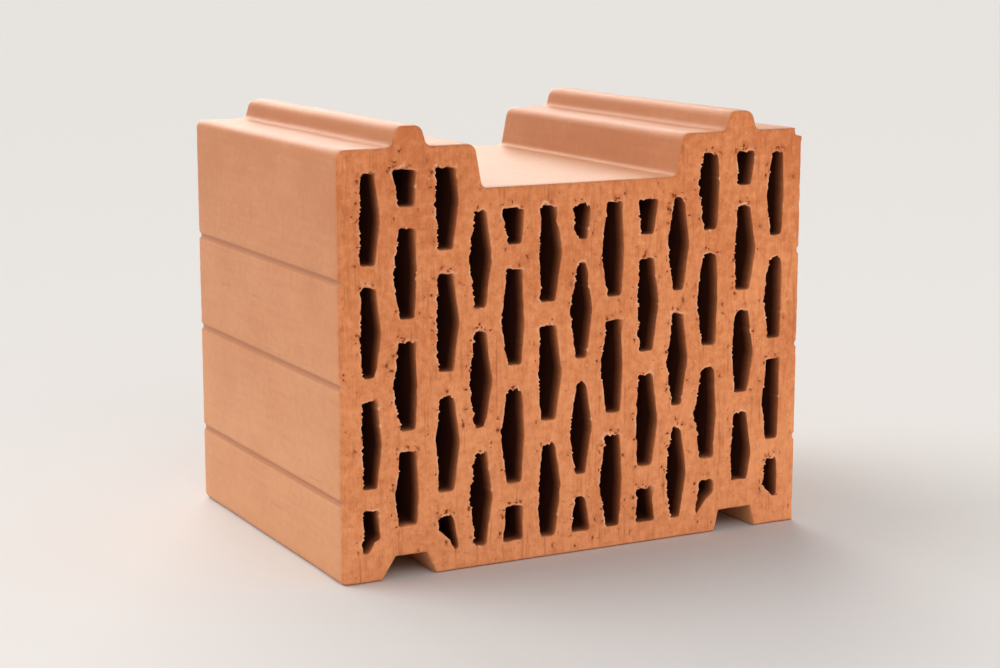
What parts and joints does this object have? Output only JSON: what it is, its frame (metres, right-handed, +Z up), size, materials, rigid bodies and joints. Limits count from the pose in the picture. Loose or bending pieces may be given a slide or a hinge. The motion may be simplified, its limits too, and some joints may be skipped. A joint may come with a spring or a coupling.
{
  "type": "perforated clay block",
  "caption": "Fired clay walling block with staggered hollow cells, tongues and grooves on its joint ends, a wide mortar pocket and scored plaster faces.",
  "frame": {"origin": "middle of the bottom of the block's box, on the floor that it stands on", "axes": "+X across the wall that it builds, from the plain top corner to the notched one; +Y along the cells, away from the face in the picture; +Z up, towards the tongues"},
  "size_m": [0.3, 0.219, 0.2515],
  "materials": {
    "fired_clay": "matte unglazed fired clay"
  },
  "bodies": {
    "root": {"clay_block": "fired_clay"}
  },
  "joints": []
}
